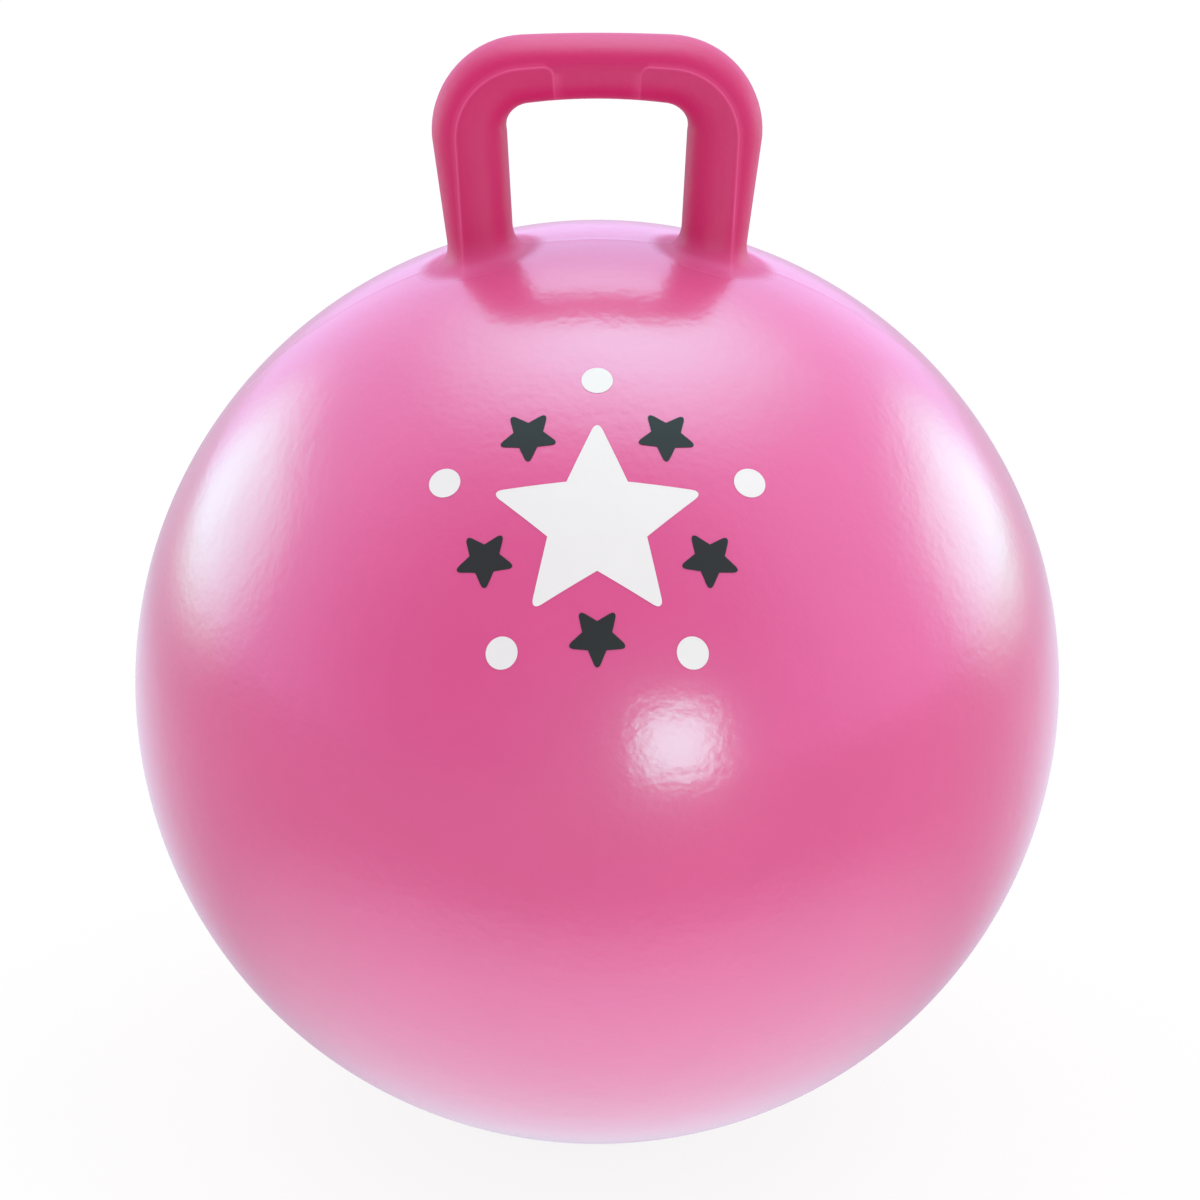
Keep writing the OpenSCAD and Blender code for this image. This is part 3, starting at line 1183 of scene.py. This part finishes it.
@dataclass
class StarBadge:
    """The printed badge: a big star, dots beyond its points and small stars in its waists."""

    ball: BallSkin
    lift: float = math.radians(41.0)
    points: int = 5
    star_radius: float = 50.0 * MM
    small_radius: float = 15.0 * MM
    small_pitch: float = 52.0 * MM
    dot_radius: float = 7.0 * MM
    dot_pitch: float = 71.0 * MM
    waist: float = 0.46
    tip_radius: float = 2.5 * MM
    film: float = 0.2 * MM
    bond: float = 0.05 * MM
    grid: float = 6.0 * MM
    round_steps: int = 6
    tip_limit: float = 0.4
    dot_sides: int = 48
    crease: float = math.radians(40.0)

    def build(self, ink: Ink) -> bpy.types.Object:
        """Models one pass of the badge.

        Args:
            ink: The pass.

        Returns:
            Its film of ink on the skin.
        """
        step = math.tau / self.points
        turns = [step * index for index in range(self.points)]
        if ink is Ink.WHITE:
            shapes = [self._star(self.star_radius, 0.0, 0.0)]
            shapes += [self._dot(turn) for turn in turns]
        else:
            shapes = [self._star(self.small_radius, self.small_pitch, turn + step / 2) for turn in turns]
        deselect_all()
        for shape in shapes:
            shape.select_set(True)
        bpy.context.view_layer.objects.active = shapes[0]
        bpy.ops.object.join()
        film = take("badge_" + ink.name.lower())
        self._lay_on_skin(film)
        return film

    def _tip_offset(self, radius: float) -> float:
        """Length of the edge that the rounding of a star's point takes up.

        Args:
            radius: To the star's points.

        Returns:
            The length.
        """
        half_step = math.pi / self.points
        across = self.waist * math.sin(half_step)
        down = 1.0 - self.waist * math.cos(half_step)
        return min(self.tip_radius * down / across, self.tip_limit * radius * math.hypot(across, down))

    def _star(self, radius: float, pitch: float, turn: float) -> bpy.types.Object:
        """A flat star with rounded points.

        Args:
            radius: To its points.
            pitch: Its distance from the middle of the badge.
            turn: Its turn round the badge, from the top.

        Returns:
            The star, cut into a grid so that it can bend.
        """
        bpy.ops.mesh.primitive_circle_add(vertices=2 * self.points, radius=radius, fill_type="NGON")
        star = take("star")
        with editing(star):
            pick(star, lambda vertex: vertex.index % 2 == 1)
            waist = (self.waist, self.waist, 1.0)
            bpy.ops.transform.resize(value=waist, center_override=(0.0, 0.0, 0.0))
            pick(star, lambda vertex: vertex.index % 2 == 0)
            tip = self._tip_offset(radius)
            bpy.ops.mesh.bevel(offset=tip, segments=self.round_steps, affect="VERTICES")
            lines, shift = int(radius / self.grid), self.grid / 3
            for axis in (Vector((1, 0, 0)), Vector((0, 1, 0))):
                for line in range(-lines, lines + 1):
                    bpy.ops.mesh.select_all(action="SELECT")
                    bpy.ops.mesh.bisect(plane_co=axis * (line * self.grid + shift), plane_no=axis)
        self._set_out(star, pitch, turn)
        return star

    def _dot(self, turn: float) -> bpy.types.Object:
        """A flat round dot.

        Args:
            turn: Its turn round the badge, from the top.

        Returns:
            The dot.
        """
        bpy.ops.mesh.primitive_circle_add(
            vertices=self.dot_sides, radius=self.dot_radius, fill_type="TRIFAN")
        dot = take("dot")
        self._set_out(dot, self.dot_pitch, turn)
        return dot

    @staticmethod
    def _set_out(shape: bpy.types.Object, pitch: float, turn: float) -> None:
        """Turns and moves a flat shape to its place on the badge.

        Args:
            shape: The shape.
            pitch: Its distance from the middle of the badge.
            turn: Its turn round the badge, from the top.
        """
        shape.rotation_euler = (0.0, 0.0, turn)
        shape.location = (-pitch * math.sin(turn), pitch * math.cos(turn), 0.0)
        settle(shape)

    def _lay_on_skin(self, film: bpy.types.Object) -> None:
        """Bends flat shapes over the front of the ball and gives them the ink's thickness.

        Args:
            film: The joined shapes.
        """
        seat = self.ball.radius + self.bond
        with editing(film):
            bpy.ops.mesh.select_all(action="SELECT")
            reshape(film, lambda p: Vector((p.x, p.y, math.sqrt(seat**2 - p.x**2 - p.y**2))))
        film.rotation_euler = (math.pi / 2 - self.lift, 0.0, 0.0)
        film.location = self.ball.centre
        settle(film)
        finish_with(film, "SOLIDIFY", thickness=self.film, offset=1.0)
        smooth(film, self.crease)


@dataclass
class AirValve:
    """The soft seat at the back pole and the stopper in it, both turned about the valve's axis."""

    ball: BallSkin
    bore: float = 4.5 * MM
    neck_wall: float = 2.5 * MM
    bore_length: float = 13.0 * MM
    collar: float = 13.0 * MM
    flange: float = 20.0 * MM
    flange_edge: float = 1.4 * MM
    dish_floor: float = 2.0 * MM
    lead_in: float = 0.8 * MM
    bond: float = 0.05 * MM
    head: float = 8.5 * MM
    head_thick: float = 2.6 * MM
    head_edge: float = 0.5 * MM
    head_clear: float = 0.4 * MM
    head_sink: float = 0.3 * MM
    stem: float = 16.0 * MM
    land: float = 2.5 * MM
    ribs: int = 3
    rib_rise: float = 0.6 * MM
    rib_flank: float = 0.7
    plug_clear: float = 0.05 * MM
    core: float = 2.0 * MM
    core_floor: float = 2.0 * MM
    dimple: float = 3.2 * MM
    dimple_depth: float = 0.4 * MM
    notch: float = 2.0 * MM
    notch_depth: float = 1.2 * MM
    notch_sides: int = 40
    curve_steps: int = 4
    soften: float = 0.25 * MM
    spin_steps: int = 72
    crease: float = math.radians(30.0)

    @property
    def dish(self) -> float:
        """Depth of the dish that the plug's head lies in, below the pole."""
        return self.head_sink + self.head_thick

    def _curve(self, face: float, start: float, end: float) -> list[tuple[float, float]]:
        """Corners along a ball-shaped face, going in towards the axis.

        Args:
            face: The ball's radius there.
            start: Radius of the first corner.
            end: Radius of the last corner.

        Returns:
            The corners, with heights below the pole.
        """
        corners = []
        for step in range(self.curve_steps + 1):
            radius = start + (end - start) * step / self.curve_steps
            corners.append((radius, math.sqrt(face**2 - radius**2) - self.ball.radius))
        return corners

    def _at_pole(self, obj: bpy.types.Object, drop: float) -> None:
        """Moves a turned piece from Z to the valve's axis.

        Args:
            obj: The piece.
            drop: Its depth below the skin's pole.
        """
        obj.rotation_euler = (-math.pi / 2, 0.0, 0.0)
        obj.location = self.ball.centre + Vector((0.0, self.ball.radius - drop, 0.0))
        settle(obj)

    def build_seat(self) -> bpy.types.Object:
        """Models the flange, collar, dish and neck.

        Returns:
            The seat.
        """
        boss = self.dish + self.dish_floor
        neck_end = self.dish + self.bore_length
        bonded = self.ball.radius - self.ball.wall - self.bond
        under = self.ball.radius - math.sqrt(bonded**2 - self.flange**2) + self.flange_edge
        dish = self.head + self.head_clear
        neck = self.bore + self.neck_wall
        profile = [(self.bore, -neck_end), (neck, -neck_end), (neck, -boss), (self.collar, -boss),
                   (self.collar, -under), (self.flange, -under)]
        profile += self._curve(bonded, self.flange, self.collar)
        profile += self._curve(self.ball.radius, self.collar, dish)
        profile += [(dish, -self.dish), (self.bore + self.lead_in, -self.dish),
                    (self.bore, -self.dish - self.lead_in)]
        seat = turned("valve_collar", profile, self.soften, self.spin_steps)
        self._at_pole(seat, 0.0)
        smooth(seat, self.crease)
        return seat

    def build_plug(self) -> bpy.types.Object:
        """Models the stopper, with its ribbed hollow stem and the nail notch in its head.

        Returns:
            The plug.
        """
        rib = self.bore - self.plug_clear
        thin = rib - self.rib_rise
        pitch = (self.stem - self.land) / self.ribs
        top = self.head_thick
        floor = top - self.dimple_depth
        profile = [(0.0, -self.core_floor), (self.core, -self.core_floor), (self.core, -self.stem)]
        for index in range(self.ribs):
            low = -self.stem + index * pitch
            profile += [(thin, low), (rib, low + pitch * self.rib_flank)]
        profile += [(thin, -self.land), (rib, -self.land), (rib, 0.0), (self.head, 0.0),
                    (self.head, top - self.head_edge), (self.head - self.head_edge, top),
                    (self.dimple, top), (self.dimple, floor), (0.0, floor)]
        plug = turned("plug_stopper", profile, self.soften / 2, self.spin_steps)
        bpy.ops.mesh.primitive_cylinder_add(
            vertices=self.notch_sides, radius=self.notch, depth=2 * self.notch_depth,
            location=(0.0, self.head, top))
        cut_away(plug, take("notch_cutter"))
        self._at_pole(plug, self.dish)
        smooth(plug, self.crease)
        return plug


class Lamp(Enum):
    """What a lamp is for."""

    MIRRORED = "its image in the gloss"
    FILL = "soft light with no image"
    TABLE = "the image of a brightly lit table top"


def around(azimuth: float, elevation: float, distance: float) -> tuple[float, float, float]:
    """A place round the middle of the ball.

    Args:
        azimuth: Degrees from the front to the right.
        elevation: Degrees above level.
        distance: From the middle of the ball.

    Returns:
        The place, measured from that middle.
    """
    turn, climb = math.radians(azimuth), math.radians(elevation)
    level = distance * math.cos(climb)
    return level * math.sin(turn), -level * math.cos(turn), distance * math.sin(climb)


@dataclass(frozen=True)
class Softbox:
    """A studio lamp whose light fades from a bright core to its rounded edge."""

    name: str
    job: Lamp
    place: tuple[float, float, float]
    width: float
    height: float
    radiance: float
    core: float = 0.0
    cast: Colour = (0.5, 1.0, 0.95, 1.0)
    squareness: float = 2.5

    def hang(self, target: Vector) -> None:
        """Places the lamp.

        Args:
            target: The middle of the ball. A lamp faces it, or lies on the table and faces up.
        """
        lamp = bpy.data.lights.new(self.name, "AREA")
        lamp.shape = "RECTANGLE"
        lamp.size = self.width
        lamp.size_y = self.height
        lamp.energy = self.radiance * math.pi * self.width * self.height
        lamp.use_nodes = True
        self._fade(NodeGraph(lamp.node_tree))
        holder = bpy.data.objects.new(self.name, lamp)
        place = Vector(self.place)
        holder.location = target + place
        facing = Vector((0.0, 0.0, 1.0)) if self.job is Lamp.TABLE else -place
        holder.rotation_euler = facing.to_track_quat("-Z", "Y").to_euler()
        holder.visible_camera = False
        holder.visible_diffuse = self.job is Lamp.FILL
        holder.visible_glossy = self.job is not Lamp.FILL
        bpy.context.scene.collection.objects.link(holder)

    def _fade(self, graph: NodeGraph) -> None:
        """Dims the lamp from its core to its edge.

        Args:
            graph: The lamp's nodes.
        """
        spot = graph.add("NewGeometry").outputs["Parametric"]
        across = graph.vector_sum("SUBTRACT", spot, (0.5, 0.5, 0.0))
        sides = graph.add("SeparateXYZ")
        graph.feed(sides, 0, graph.vector_sum("ABSOLUTE", across.outputs[0]).outputs[0])
        powers = [graph.sum("POWER", graph.sum("MULTIPLY", sides.outputs[axis], 2.0), self.squareness)
                  for axis in ("X", "Y")]
        far = graph.sum("POWER", graph.sum("ADD", *powers), 1.0 / self.squareness)
        glow = graph.add("Emission")
        graph.feed(glow, "Color", self.cast)
        graph.feed(glow, "Strength", graph.ramp(far, 1.0, self.core))
        graph.feed(graph.add("OutputLight"), "Surface", glow.outputs[0])


@dataclass
class Studio:
    """A white floor under soft lamps, and the camera of the photograph."""

    ball: BallSkin
    floor_half: float = 14.0
    floor_colour: Colour = (0.86, 0.86, 0.86, 1.0)
    floor_glow: float = 0.88
    floor_mirrored: float = 0.56
    floor_cast: Colour = (1.0, 1.0, 1.15, 1.0)
    # painted shadow: the floor's glow in reflections fades out round the ball's contact
    painted_contact_shadow_edges: tuple[float, float] = (0.03, 0.11)
    tent_cast: Colour = (1.05, 0.97, 1.5, 1.0)
    lit_sides: float = 1.04
    lit_top: float = 2.2
    back_lit: float = 0.4
    back_edges: tuple[float, float] = (0.15, 0.85)
    tent: float = 1.2
    tent_top: float = 1.3
    room: float = 0.36
    room_lit: float = 0.44
    room_way: tuple[float, float, float] = (-0.2, -0.90, 0.39)
    room_edges: tuple[float, float] = (0.97, 0.2)
    top_edges: tuple[float, float] = (-0.1, 0.75)
    image: float = 1200.0
    focal: float = 4132.0
    sensor: float = 36.0
    camera_distance: float = 2.025
    camera_elevation: float = math.radians(22.8)
    ball_pixel: tuple[float, float] = (597.0, 680.8)
    lamps: tuple[Softbox, ...] = (
        Softbox("front_softbox", Lamp.MIRRORED, around(15.0, 10.7, 0.5), 0.155, 0.143, 13.2, 0.6,
                cast=(0.24, 1.0, 0.72, 1.0), squareness=4.0),
        Softbox("left_softbox", Lamp.MIRRORED, around(-111, 17.6, 0.8), 0.87, 0.66, 3.5, 0.3,
                cast=(0.20, 1.0, 0.70, 1.0)),
        Softbox("right_softbox", Lamp.MIRRORED, around(111, 15.5, 0.8), 0.84, 0.66, 3.9, 0.25,
                cast=(0.20, 1.0, 0.72, 1.0)),
        Softbox("top_softbox", Lamp.MIRRORED, around(168, 72, 2.2), 3.6, 3.2, 5.1, 0.0,
                cast=(0.18, 1.0, 0.82, 1.0)),
        Softbox("table_front", Lamp.TABLE, (0.0, -0.275, -0.22), 1.35, 0.62, 1.75,
                cast=(0.7, 1.0, 1.05, 1.0)),
        Softbox("table_back", Lamp.TABLE, (0.0, 0.5, -0.22), 2.2, 1.1, 0.42, 0.3,
                cast=(0.7, 1.0, 1.1, 1.0)),
        Softbox("front_fill", Lamp.FILL, around(4, 12, 2.6), 2.4, 1.6, 1.6, 0.9, WHITE),
    )

    def build(self) -> None:
        """Makes the floor, world, lamps and camera."""
        self._floor()
        self._world()
        for lamp in self.lamps:
            lamp.hang(self.ball.centre)
        self._camera()
        bpy.context.scene.view_settings.view_transform = "Standard"

    def _floor(self) -> None:
        """A pale floor that keeps a soft shadow, looks white, and is dimmer in reflections, where a
        painted shadow darkens it round the ball's contact.
        """
        deselect_all()
        bpy.ops.mesh.primitive_plane_add(size=2 * self.floor_half, location=(0.0, 0.0, 0.0))
        floor = take("studio_floor")
        material, graph = new_material("floor_white")
        paper = graph.add("BsdfDiffuse")
        graph.feed(paper, "Color", self.floor_colour)
        path = graph.add("LightPath")
        glossy, through = path.outputs["Is Glossy Ray"], path.outputs["Is Transmission Ray"]
        mirrored = graph.sum("MAXIMUM", glossy, through)
        seen = graph.sum("MAXIMUM", mirrored, path.outputs["Is Camera Ray"])
        away = graph.vector_sum("LENGTH", graph.add("TexCoord").outputs["Object"]).outputs["Value"]
        # painted shadow round the ball's contact, in the glow that reflections see
        lit = graph.sum("MULTIPLY", graph.ramp(away, *self.painted_contact_shadow_edges), self.floor_mirrored)
        glow = graph.add("Emission")
        graph.feed(glow, "Color", graph.mix(mirrored, WHITE, self.floor_cast))
        dimmer = graph.sum("SUBTRACT", lit, 1.0)
        graph.feed(glow, "Strength", graph.sum("MULTIPLY_ADD", mirrored, dimmer, 1.0))
        blend = graph.add("MixShader")
        graph.feed(blend, 0, graph.sum("MULTIPLY", seen, self.floor_glow))
        graph.feed(blend, 1, paper.outputs[0])
        graph.feed(blend, 2, glow.outputs[0])
        graph.feed(graph.add("OutputMaterial"), "Surface", blend.outputs[0])
        floor.data.materials.append(material)

    def _world(self) -> None:
        """A white light tent, brighter overhead, that opens on a dim room behind the camera.

        Its soft light comes less from behind the ball.
        """
        world = bpy.data.worlds.new("studio")
        bpy.context.scene.world = world
        world.use_nodes = True
        graph = NodeGraph(world.node_tree)
        way = graph.add("TexCoord").outputs["Generated"]
        height = graph.add("SeparateXYZ")
        graph.feed(height, 0, way)
        top = graph.ramp(height.outputs["Z"], *self.top_edges)
        facing = graph.vector_sum("DOT_PRODUCT", way, self.room_way).outputs["Value"]
        walls = graph.ramp(facing, *self.room_edges)
        tent = graph.span(top, self.tent, self.tent_top)
        path = graph.add("LightPath")
        bright = graph.add("Mix", data_type="FLOAT")
        graph.feed(bright, "Factor", path.outputs["Is Diffuse Ray"])
        graph.feed(bright, 2, tent)
        back = graph.span(graph.ramp(height.outputs["Y"], *self.back_edges), 1.0, self.back_lit)
        graph.feed(bright, 3, graph.sum("MULTIPLY", graph.span(top, self.lit_sides, self.lit_top), back))
        room = graph.span(path.outputs["Is Diffuse Ray"], self.room, self.room_lit)
        lit = graph.sum("MULTIPLY_ADD", walls, graph.sum("SUBTRACT", bright.outputs[0], room), room)
        to_white = graph.sum("SUBTRACT", 1.0, lit)
        strength = graph.sum("MULTIPLY_ADD", path.outputs["Is Camera Ray"], to_white, lit)
        sky = graph.add("Background")
        graph.feed(sky, "Color", graph.mix(path.outputs["Is Glossy Ray"], WHITE, self.tent_cast))
        graph.feed(sky, "Strength", strength)
        graph.feed(graph.add("OutputWorld"), "Surface", sky.outputs[0])

    def _camera(self) -> None:
        """The camera, aimed so that the ball's middle falls on its pixel of the photograph."""
        away = Vector((0.0, -math.cos(self.camera_elevation), math.sin(self.camera_elevation)))
        lens = bpy.data.cameras.new("camera")
        lens.sensor_width = self.sensor
        lens.lens = self.sensor * self.focal / self.image
        camera = bpy.data.objects.new("camera", lens)
        camera.location = self.ball.centre + away * self.camera_distance
        pan = math.atan((self.ball_pixel[0] - self.image / 2) / self.focal)
        tilt = math.atan((self.ball_pixel[1] - self.image / 2) / self.focal)
        level = Matrix.Rotation(math.pi / 2 - self.camera_elevation + tilt, 3, "X")
        camera.rotation_euler = (Matrix.Rotation(pan, 3, "Z") @ level).to_euler()
        bpy.context.scene.collection.objects.link(camera)
        bpy.context.scene.camera = camera


def main() -> None:
    """Builds the pieces in order, dresses them and sets up the studio."""
    logging.basicConfig(level=logging.INFO, format="%(name)s: %(message)s")
    deselect_all()
    ball = BallSkin()
    handle = LoopHandle(ball)
    badge = StarBadge(ball)
    valve = AirValve(ball)
    effects = SharedEffects(ball, handle)
    skin_vinyl = VinylFinish("skin_vinyl", DEEP_PINK, PALE_PINK)
    # the handle's finish paints a highlight along its panel's edge
    handle_vinyl = VinylFinish("handle_vinyl", DEEP_PINK, PALE_PINK, painted_highlight=0.35)
    seat_vinyl = FlatFinish("seat_vinyl", DEEP_PINK, roughness=0.38)
    plug_white = FlatFinish("plug_white", PLUG_WHITE, roughness=0.36)
    ink_white = FlatFinish("ink_white", INK_WHITE, roughness=0.5, specular=0.2)
    ink_black = FlatFinish("ink_black", INK_BLACK, roughness=0.45, specular=0.15)

    dress(ball.build(handle), skin_vinyl.material(effects), Body.BALL, Slot.SKIN, "ball_skin")
    dress(handle.build(), handle_vinyl.material(effects), Body.BALL, Slot.HANDLE, "handle")
    dress(valve.build_seat(), seat_vinyl.material(effects), Body.BALL, Slot.VALVE, "valve_seat")
    dress(valve.build_plug(), plug_white.material(effects), Body.PLUG, Slot.PLUG, "valve_plug")
    dress(badge.build(Ink.WHITE), ink_white.material(effects), Body.BALL, Slot.INK_WHITE,
          Ink.WHITE.value)
    dress(badge.build(Ink.BLACK), ink_black.material(effects), Body.BALL, Slot.INK_BLACK,
          Ink.BLACK.value)
    Studio(ball).build()


if __name__ == "__main__":
    main()
